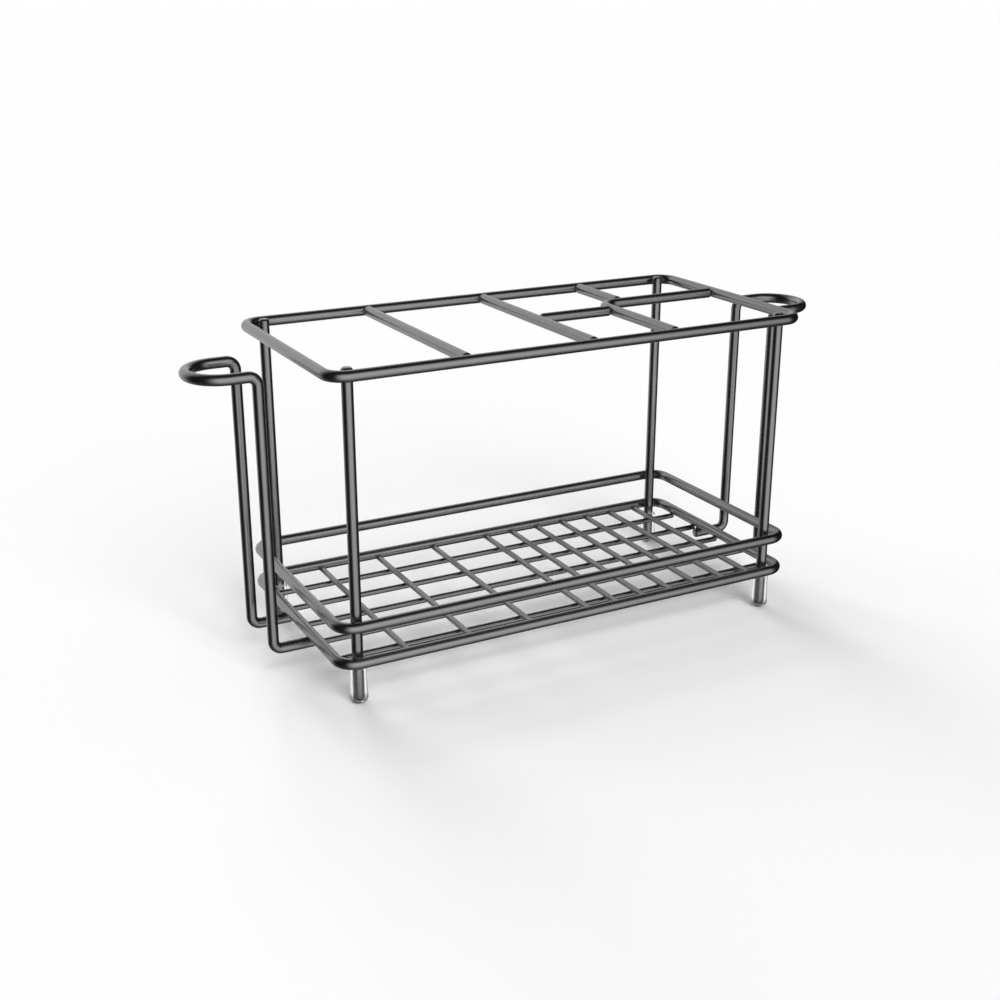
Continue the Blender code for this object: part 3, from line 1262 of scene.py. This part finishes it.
@dataclass
class Tray:
    """The two rails and the grille that closes the bottom.

    Attributes:
        shop: the workshop.
        pressed: how much the welding pressed the long wires up against the cross wires.
    """

    shop: Workshop
    pressed: float = 0.2 * MM

    def build(self) -> list[Object]:
        """Make the rails and the grille's wires.

        Returns:
            The pieces.
        """
        sizes = self.shop.sizes
        pieces = [
            self.shop.ring("lower_tray_rail", sizes.lower_rail_height),
            self.shop.ring("upper_tray_rail", sizes.upper_rail_height),
        ]
        runs = {}
        z = sizes.long_wire_height + self.pressed
        for index, y in enumerate(sizes.long_wire_positions(), start=1):
            corners = [(x, y, z) for x in sizes.long_wire_ends]
            runs[f"grille_long_wire_{index}"] = WireRun(corners, start=EndCut.CUT, end=EndCut.CUT)
        z = sizes.cross_wire_height
        for index, x in enumerate(sizes.cross_wire_positions(), start=1):
            runs[f"grille_cross_wire_{index}"] = WireRun([(x, -sizes.bar_reach, z), (x, sizes.bar_reach, z)])
        return pieces + [self.shop.bend(node, run, self.shop.grille_wire) for node, run in runs.items()]


@dataclass
class Stand:
    """The four posts and the clear caps that they stand in.

    Attributes:
        shop: the workshop.
        flute: faces round a cap.
        sole_edge: breadth of the slope between the flat sole and its rounding.
        lip: rounding of the rim's outer edge.
        mouth: rounding of its inner edge.
        well: rounding at the bottom of the bore.
    """

    shop: Workshop
    flute: int = 48
    sole_edge: float = 0.4 * MM
    lip: float = 0.28 * MM
    mouth: float = 0.2 * MM
    well: float = 0.9 * MM

    def build(self) -> list[Object]:
        """Make the posts and the caps.

        Returns:
            The pieces.
        """
        shop, sizes = self.shop, self.shop.sizes
        shape = self._cap_shape()
        pieces = []
        for depth in Depth:
            for side in Side:
                tag = f"{depth.name.lower()}_{side.name.lower()}"
                x, y = side.value * sizes.post_x, depth.value * sizes.post_y
                run = WireRun([(x, y, z) for z in sizes.post_ends], start=EndCut.CAPPED, end=EndCut.CUT)
                pieces.append(shop.bend(f"post_{tag}", run))
                cap = shop.copies.copy(f"foot_cap_{tag}_clear", shape, [(x, y, 0.0)], shop.clear_plastic)
                pieces.append(adopt(cap, CAP_SLOT, [f"foot_cap_{tag}"]))
        bpy.data.meshes.remove(shape)
        return pieces

    @staticmethod
    def _quarter(centre: Flat, radius: float, start: float, end: float, steps: int) -> list[Flat]:
        """Points of a quarter circle.

        Args:
            centre: its centre.
            radius: its radius.
            start: the angle that it starts at, in degrees.
            end: the angle that it ends at.
            steps: how many parts it has.

        Returns:
            The points, both ends included.
        """
        angles = [math.radians(start + (end - start) * step / steps) for step in range(steps + 1)]
        return [(centre[0] + radius * math.cos(angle), centre[1] + radius * math.sin(angle)) for angle in angles]

    def _cap_outline(self) -> list[Flat]:
        """Half section of one cap.

        Returns:
            Pairs of radius and height, from the axis at the sole, up the outside, over the rim
            and down the bore to the axis again.
        """
        sizes = self.shop.sizes
        bore = sizes.frame_radius + sizes.joint_gap
        rim = bore + sizes.cap_wall
        rounding = sizes.cap_rounding
        sole = rim + sizes.cap_flare - rounding
        top, floor = sizes.cap_height, sizes.cap_floor
        lip, mouth, well = self.lip, self.mouth, self.well
        return [
            (0.0, 0.0),
            (sole - self.sole_edge, 0.0),
            *self._quarter((sole, rounding), rounding, -90.0, 0.0, steps=8),
            *self._quarter((rim - lip, top - lip), lip, 0.0, 90.0, steps=4),
            *self._quarter((bore + mouth, top - mouth), mouth, 90.0, 180.0, steps=3),
            *self._quarter((bore - well, floor + well), well, 0.0, -90.0, steps=5),
            (0.0, floor),
        ]

    def _cap_shape(self) -> Mesh:
        """Turn the cap's half section round its axis.

        Returns:
            One cap, on the standing surface at the origin.
        """
        work = bmesh.new()
        rows: list[list[bmesh.types.BMVert]] = []
        for radius, height in self._cap_outline():
            angles = [math.tau * step / self.flute for step in range(self.flute)] if radius else [0.0]
            places = [(radius * math.cos(angle), radius * math.sin(angle), height) for angle in angles]
            rows.append([work.verts.new(place) for place in places])
        for lower, upper in zip(rows, rows[1:]):
            for step in range(self.flute):
                following = (step + 1) % self.flute
                corners = [lower[step % len(lower)], lower[following % len(lower)]]
                corners += [upper[following % len(upper)], upper[step % len(upper)]]
                face = list(dict.fromkeys(corners))
                if len(face) > 2:
                    work.faces.new(face)
        bmesh.ops.remove_doubles(work, verts=work.verts, dist=SAME_VERTEX)
        bmesh.ops.recalc_face_normals(work, faces=work.faces)
        return mesh_from("foot_cap_shape", work)


@dataclass
class SideLoops:
    """The bent wire at each end that holds one more brush or a razor."""

    shop: Workshop
    small_bend_steps: int = 12
    round_bend_steps: int = 15

    def build(self) -> list[Object]:
        """Bend both loops."""
        return [self.shop.bend(f"{side.name.lower()}_side_loop", self._loop(side.value)) for side in Side]

    def _loop(self, sign: int) -> WireRun:
        """Centre line of one loop.

        Args:
            sign: the end of the holder that it stands at, as the sign of X.

        Returns:
            The path from the front leg to the rear one.
        """
        sizes = self.shop.sizes
        radius = sizes.loop_radius
        leg_end = sizes.half_length - sizes.frame_radius
        upright = sizes.half_length + sizes.loop_standoff
        far = upright + sizes.loop_arm + radius
        low, high = sizes.leg_height, sizes.loop_height
        front = [(leg_end, -radius, low), (upright, -radius, low), (upright, -radius, high), (far, -radius, high)]
        rear = [(x, -y, z) for x, y, z in reversed(front)]
        corners = [(sign * x, y, z) for x, y, z in front + rear]
        small = [Bend(sizes.loop_bend, self.small_bend_steps)] * 2
        half_round = [Bend(radius, self.round_bend_steps)] * 2
        return WireRun(corners, small + half_round + small, start=EndCut.CUT, end=EndCut.CUT)


@dataclass
class Joints:
    """Every spot where two wires are welded.

    Attributes:
        sizes: the holder's sizes.
        frame_bead: the beads where thick wires lie side by side.
        divider_bead: the beads at the dividers' ends.
        crossing_bead: the beads where the grille's wires cross.
        long_end_bead: the beads where its long wires meet the lower rail.
        cross_end_bead: the beads where its cross wires meet the lower rail.
        bead_offset: how far a bead at a wire's end lies off the other wire's side.
        first_seed: seed of the first group of beads.
    """

    sizes: HolderSizes
    frame_bead: BeadSize = BeadSize(1.15 * MM, 0.45 * MM)
    divider_bead: BeadSize = BeadSize(1.5 * MM, 0.75 * MM)
    crossing_bead: BeadSize = BeadSize(0.72 * MM, 0.32 * MM)
    long_end_bead: BeadSize = BeadSize(0.85 * MM, 0.36 * MM)
    cross_end_bead: BeadSize = BeadSize(0.9 * MM, 0.5 * MM)
    bead_offset: float = 0.1 * MM
    first_seed: int = 11

    def groups(self) -> dict[str, list[SpotWeld]]:
        """The spots that get a fused bead.

        Returns:
            Each group's welds, by its name, with the thick wires' groups first.
        """
        sizes = self.sizes
        left, middle, corner, rear = sizes.bars
        beside = sizes.frame_radius + self.bead_offset
        wall = beside - sizes.half_width
        low, top, cross_z = sizes.lower_rail_height, sizes.top_ring_height, sizes.cross_wire_height
        crosses, longs = sizes.cross_wire_positions(), sizes.long_wire_positions()
        post_y, leg_z = (sizes.post_y + sizes.half_width) / 2, (sizes.leg_height + low) / 2
        long_end_z = sizes.long_wire_height + sizes.grille_radius + sizes.joint_gap / 2
        crossing_z = (cross_z + sizes.long_wire_height) / 2
        heights = (low, sizes.upper_rail_height, top)
        posts = [(sx * sizes.post_x, sy * post_y, z) for sx, sy in CORNERS for z in heights]
        legs = [(sx * sizes.half_length, sy * sizes.loop_radius, leg_z) for sx, sy in CORNERS]
        dividers = [((x, wall, top), ALONG_Y) for x in (left, middle, corner)]
        dividers.append(((middle + beside, 0.0, top), ALONG_X))
        dividers.append(((rear, sizes.corner_wire_offset + beside, top), ALONG_Y))
        long_ends = [(x, y, long_end_z) for x in (sizes.long_wire_ends[0], sizes.half_length) for y in longs]
        crossings = [(x, y, crossing_z) for x in crosses for y in longs]
        return {
            "posts": [SpotWeld(place, ALONG_Y, self.frame_bead) for place in posts],
            "loop_legs": [SpotWeld(place, ALONG_Z, self.frame_bead) for place in legs],
            "dividers": [SpotWeld(place, axis, self.divider_bead) for place, axis in dividers],
            "cross_wires": [SpotWeld((x, wall, cross_z), ALONG_Y, self.cross_end_bead) for x in crosses],
            "grille_ends": [SpotWeld(place, ALONG_Z, self.long_end_bead) for place in long_ends],
            "grille_crossings": [SpotWeld(place, ALONG_Z, self.crossing_bead) for place in crossings],
        }

    def butts(self) -> list[Place]:
        """Places where the end of one wire meets the side of another.

        Returns:
            Those of the dividers, then those of the cross wires.
        """
        sizes = self.sizes
        left, middle, corner, rear = sizes.bars
        radius, z, offset = sizes.frame_radius, sizes.top_ring_height, sizes.corner_wire_offset
        edge = sizes.half_width - radius
        places = [(x, y, z) for x in (left, middle) for y in (-edge, edge)]
        places += [(corner, -edge, z), (sizes.half_length - radius, offset, z), (middle + radius, 0.0, z)]
        places += [(corner - radius, 0.0, z), (rear, offset + radius, z), (rear, edge, z)]
        return places + [(x, y, sizes.cross_wire_height) for x in sizes.cross_wire_positions() for y in (-edge, edge)]

    def mark(self) -> Object:
        """Make the loose points that the wires measure their distance to.

        Returns:
            A temporary object with a vertex in the middle of every weld.
        """
        groups = self.groups()
        lying = ("posts", "loop_legs", "grille_ends", "grille_crossings")
        places = [spot.point for name in lying for spot in groups[name]]
        return link("weld_points", mesh_of("weld_points", places + self.butts()))

    def build(self, shop: Workshop) -> list[Object]:
        """Put the fused beads between the wires.

        Args:
            shop: the workshop.

        Returns:
            The pieces, one for each group of joints.
        """
        pieces = []
        wires = [shop.frame_wire] * 3 + [shop.grille_wire] * 3
        for index, (name, spots) in enumerate(self.groups().items()):
            piece = shop.beads.scatter(f"welds_of_{name}", spots, wires[index], self.first_seed + index)
            pieces.append(adopt(piece, wires[index].slot))
        return pieces


@dataclass(frozen=True)
class Window:
    """A soft-edged opening in the black tent, through which the metal sees the background.

    Attributes:
        compass: direction of its middle, in degrees from +Y towards +X.
        half_width: half its width, in degrees, where it is half open.
        side_fade: how many degrees its sides fade over.
        top: height of its upper edge above the horizon, in degrees.
        top_fade: how many degrees the upper edge fades over.
        bottom: height of its lower edge, in degrees.
        bottom_fade: how many degrees the lower edge fades over.
        level: how open the window is in its middle.
    """

    compass: float
    half_width: float
    side_fade: float
    top: float
    top_fade: float
    bottom: float
    bottom_fade: float
    level: float = 1.0


@dataclass(frozen=True)
class SoftLamp:
    """A wide, far lamp, which lights the floor evenly and throws soft shadows.

    Attributes:
        name: its name.
        compass: where it stands, in degrees from +Y towards +X.
        height: how high it stands over the horizon, in degrees.
        spread: how wide it looks from the holder, in degrees.
        strength: its irradiance.
    """

    name: str
    compass: float
    height: float
    spread: float
    strength: float

    def build(self) -> None:
        """Set the lamp up, turned to the holder."""
        compass, height = math.radians(self.compass), math.radians(self.height)
        level = math.cos(height)
        direction = Vector((math.sin(compass) * level, math.cos(compass) * level, math.sin(height)))
        data = bpy.data.lights.new(self.name, "SUN")
        data.angle = math.radians(self.spread)
        data.energy = self.strength
        lamp = link(self.name, data)
        lamp.location = direction
        lamp.rotation_euler = (-direction).to_track_quat("-Z", "Y").to_euler()
        lamp.visible_glossy = False
        lamp.visible_camera = False


@dataclass
class Studio:
    """Floor, lamps, black tent, background and camera round the holder.

    Attributes:
        seen_floor_tone: the floor's tone as the camera sees it.
        fill: strength of the background as a soft light.
        leak: how open the tent is outside its windows.
        cap_crossings: surfaces of a cap that light passes on its way to the post and back.
    """

    floor_tone: Colour = (0.95, 0.95, 0.95)
    seen_floor_tone: Colour = (1.0, 1.0, 1.0)
    floor_half: float = 40.0
    fill: float = 0.315
    camera_place: Place = (-0.26628, -0.48075, 0.24972)
    camera_turn: Place = (70.11, 0.0, -28.0)
    lens: float = 50.0
    sensor: float = 36.0
    tent_radius: float = 3.0
    tent_height: float = 0.07
    lamps: tuple[SoftLamp, ...] = (
        SoftLamp("rear_lamp", compass=0.0, height=35.0, spread=35.0, strength=1.046),
        SoftLamp("low_rear_lamp", compass=0.0, height=15.0, spread=24.0, strength=1.266),
        SoftLamp("front_lamp", compass=180.0, height=35.0, spread=35.0, strength=1.825),
        SoftLamp("low_left_lamp", compass=-45.0, height=15.0, spread=24.0, strength=0.579),
    )
    leak: float = 0.018
    cap_crossings: int = 3
    windows: tuple[Window, ...] = (
        Window(179.0, 43.0, 40.0, top=45.0, top_fade=42.0, bottom=-44.0, bottom_fade=84.0, level=0.95),
        Window(-3.0, 47.0, 44.0, top=50.0, top_fade=48.0, bottom=-36.0, bottom_fade=56.0, level=0.74),
        Window(0.0, 400.0, 1.0, top=-55.0, top_fade=90.0, bottom=-200.0, bottom_fade=1.0, level=0.1),
    )

    def build(self) -> None:
        """Set the whole studio up. The floor and the tent aren't part of the holder."""
        self._background()
        self._camera()
        for lamp in self.lamps:
            lamp.build()
        self._floor()
        self._tent()
        bpy.context.scene.view_settings.view_transform = "Standard"

    def _floor(self) -> Object:
        """Lay the pale floor, which reflections don't see.

        Returns:
            The floor.
        """
        writer = MaterialWriter("pale_floor")
        path = writer.add("ShaderNodeLightPath").outputs
        tone = writer.mix(path["Is Camera Ray"], self.floor_tone, self.seen_floor_tone)
        unreflected = writer.math("LESS_THAN", path["Glossy Depth"], BETWEEN_COUNTS)
        writer.feed(writer.shader, {**MATT, "Base Color": tone, "Alpha": unreflected})
        half = self.floor_half
        corners = [(-half, -half, 0.0), (half, -half, 0.0), (half, half, 0.0), (-half, half, 0.0)]
        floor = link("floor", mesh_of("floor", corners, faces=[(0, 1, 2, 3)]))
        floor.data.materials.append(writer.material)
        floor.visible_glossy = False
        return floor

    @staticmethod
    def _window_group() -> NodeTree:
        """Node group that puts out how open one window is in a direction.

        Returns:
            The group.
        """
        inputs = {"Direction": Carried.VECTOR, **{label(item.name): 0.0 for item in fields(Window)}}
        writer = GroupWriter("soft_window", "ShaderNodeTree", inputs, {"Open": Carried.FLOAT})
        given = writer.given
        feeds = {"Vector": given["Direction"], "Angle": writer.math("RADIANS", given["Compass"])}
        turned = writer.add("ShaderNodeVectorRotate", feeds, rotation_type="Z_AXIS")
        parts = writer.split(turned.outputs[0])
        turn = writer.math("ABSOLUTE", writer.math("ARCTAN2", parts["X"], parts["Y"]))
        height = writer.math("DEGREES", writer.math("ARCSINE", parts["Z"]))
        edges = [
            (writer.less(given["Half width"], writer.math("DEGREES", turn)), given["Side fade"]),
            (writer.less(given["Top"], height), given["Top fade"]),
            (writer.less(height, given["Bottom"]), given["Bottom fade"]),
        ]
        opened = given["Level"]
        for inside, fade in edges:
            share = writer.plus(writer.math("DIVIDE", inside, fade), 0.5)
            eased = writer.add("ShaderNodeMapRange", {"Value": share}, interpolation_type="SMOOTHSTEP")
            opened = writer.times(opened, eased.outputs["Result"])
        writer.feed(writer.result, {"Open": opened})
        return writer.tree

    def _met_metal(self, writer: TreeWriter) -> NodeSocket:
        """Tell rays that came from the metal from those that only passed a clear cap.

        Args:
            writer: the writer of the tent's material.

        Returns:
            A socket that is 0 for a ray that left a cap without having met the post in it.
        """
        path = writer.add("ShaderNodeLightPath").outputs
        few = writer.math("LESS_THAN", path["Transmission Depth"], self.cap_crossings - BETWEEN_COUNTS)
        return writer.less(1.0, writer.times(few, path["Is Transmission Ray"]))

    def _tent(self) -> Object:
        """Hang the black tent that only reflections see.

        Returns:
            The tent.
        """
        writer = MaterialWriter("black_tent")
        middle = (0.0, 0.0, self.tent_height)
        lowered = writer.add("ShaderNodeVectorMath", {0: writer.place(), 1: middle}, operation="SUBTRACT")
        direction = writer.add("ShaderNodeVectorMath", {0: lowered.outputs[0]}, operation="NORMALIZE").outputs[0]
        group = self._window_group()
        opened: object = self.leak
        for window in self.windows:
            node = writer.group(group, direction=direction, **asdict(window))
            opened = writer.plus(opened, node.outputs["Open"], clamp=True)
        closed = writer.times(writer.less(1.0, opened, clamp=True), self._met_metal(writer))
        writer.feed(writer.shader, {**MATT, "Base Color": BLACK, "Alpha": closed})
        work = bmesh.new()
        bmesh.ops.create_uvsphere(work, u_segments=48, v_segments=24, radius=self.tent_radius)
        bmesh.ops.translate(work, verts=work.verts, vec=middle)
        tent = link("black_tent", mesh_from("black_tent", work))
        tent.data.materials.append(writer.material)
        tent.visible_camera = False
        tent.visible_diffuse = False
        tent.visible_shadow = False
        return tent

    def _background(self) -> None:
        """Make the background white where it is seen, and a soft fill elsewhere."""
        world = bpy.data.worlds.new("plain_background")
        world.use_nodes = True
        bpy.context.scene.world = world
        writer = TreeWriter(world.node_tree)
        path = writer.add("ShaderNodeLightPath").outputs
        seen = writer.math("MAXIMUM", path["Is Camera Ray"], path["Is Glossy Ray"])
        seen = writer.math("MAXIMUM", seen, path["Is Transmission Ray"])
        strength = writer.remap(seen, 0.0, 1.0, self.fill, 1.0)
        writer.feed(world.node_tree.nodes["Background"], {"Strength": strength, "Color": WHITE})

    def _camera(self) -> None:
        """Set the camera at the photograph's angle."""
        data = bpy.data.cameras.new("camera")
        data.lens = self.lens
        data.sensor_width = self.sensor
        data.clip_start = 0.01
        camera = link("camera", data)
        camera.location = self.camera_place
        camera.rotation_euler = tuple(math.radians(angle) for angle in self.camera_turn)
        bpy.context.scene.camera = camera


FRAME_FINISH = PlatedFinish(
    name="frame_plating",
    dark=(0.29, 0.29, 0.297),
    light=(0.35, 0.35, 0.357),
    smooth=0.19,
    roughening=0.12,
    line_stretch=4.5,
    line_fineness=13.0,
    relief=0.012 * MM,
    weld_reach=3.2 * MM,
    dust=0.18,
)
GRILLE_FINISH = PlatedFinish(
    name="grille_plating",
    dark=(0.26, 0.26, 0.266),
    light=(0.33, 0.33, 0.336),
    smooth=0.17,
    roughening=0.12,
    line_stretch=5.5,
    line_fineness=9.0,
    relief=0.008 * MM,
    weld_reach=2.0 * MM,
    dust=0.25,
)
CAP_FINISH = ClearPlasticFinish(
    name="clear_plastic",
    tint=(0.975, 0.98, 0.98),
    roughness=0.015,
    haze=0.04,
    ior=1.13,
    clearness=0.98,
    gloss=0.4,
    relief=0.006 * MM,
    dust=0.2,
    soiled_height=3.0 * MM,
    soiled_tone=0.25,
)


def main() -> None:
    """Build the holder's pieces and the studio.
    """
    logging.basicConfig(level=logging.INFO, format="%(message)s")
    Studio().build()
    sizes = HolderSizes()
    groups = SurfaceGroups.build()
    frame_metal, grille_metal = FRAME_FINISH.build(groups), GRILLE_FINISH.build(groups)
    joints = Joints(sizes)
    marks = joints.mark()
    shop = Workshop(
        sizes=sizes,
        frame_wire=WireStock(sizes.frame_wire, sides=36, metal=frame_metal, slot=FRAME_SLOT),
        grille_wire=WireStock(
            sizes.grille_wire,
            sides=24,
            metal=grille_metal,
            slot=GRILLE_SLOT,
            welded_edge=0.6 * MM,
            cut_edge=0.4 * MM,
        ),
        wires=WireTree(marks),
        beads=SpotWeldTree(marks),
        copies=CopyTree(),
        clear_plastic=CAP_FINISH.build(groups),
    )
    pieces: list[Object] = []
    for assembly in (Tray(shop), Mouth(shop), Stand(shop), SideLoops(shop)):
        pieces += assembly.build()
    pieces += joints.build(shop)
    bpy.data.objects.remove(marks)
    LOG.info("%d pieces, %d faces", len(pieces), sum(len(piece.data.polygons) for piece in pieces))


if __name__ == "__main__":
    main()
